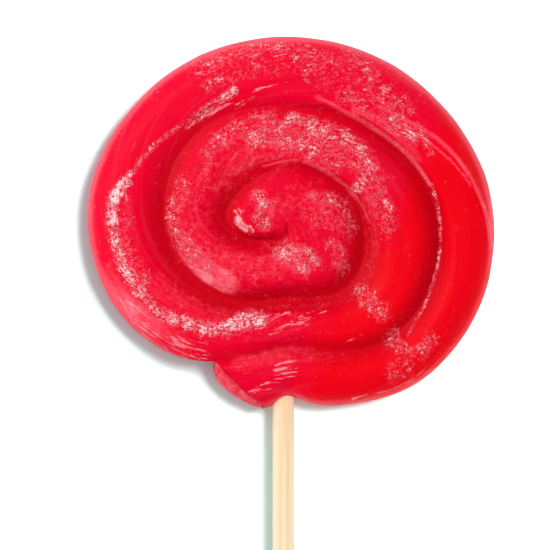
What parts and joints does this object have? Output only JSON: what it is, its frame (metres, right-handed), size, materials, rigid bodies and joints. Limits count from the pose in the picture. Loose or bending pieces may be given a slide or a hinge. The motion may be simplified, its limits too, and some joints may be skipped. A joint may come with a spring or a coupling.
{
  "type": "swirl lollipop",
  "caption": "Red swirl lollipop: a thick rope of boiled sugar coiled flat on a round wooden stick, lying on its back.",
  "frame": {"origin": "on the flat back of the candy, under the middle of the swirl", "axes": "+Z from the back up through the swirl side, -Y along the stick from the candy to its free end"},
  "size_m": [0.0816, 0.1952, 0.011],
  "materials": {
    "red_sugar": "glossy, with whitish worn crests",
    "birch": "bare, matt"
  },
  "bodies": {
    "root": {"candy_swirl": "red_sugar", "wooden_stick": "birch"}
  },
  "joints": []
}
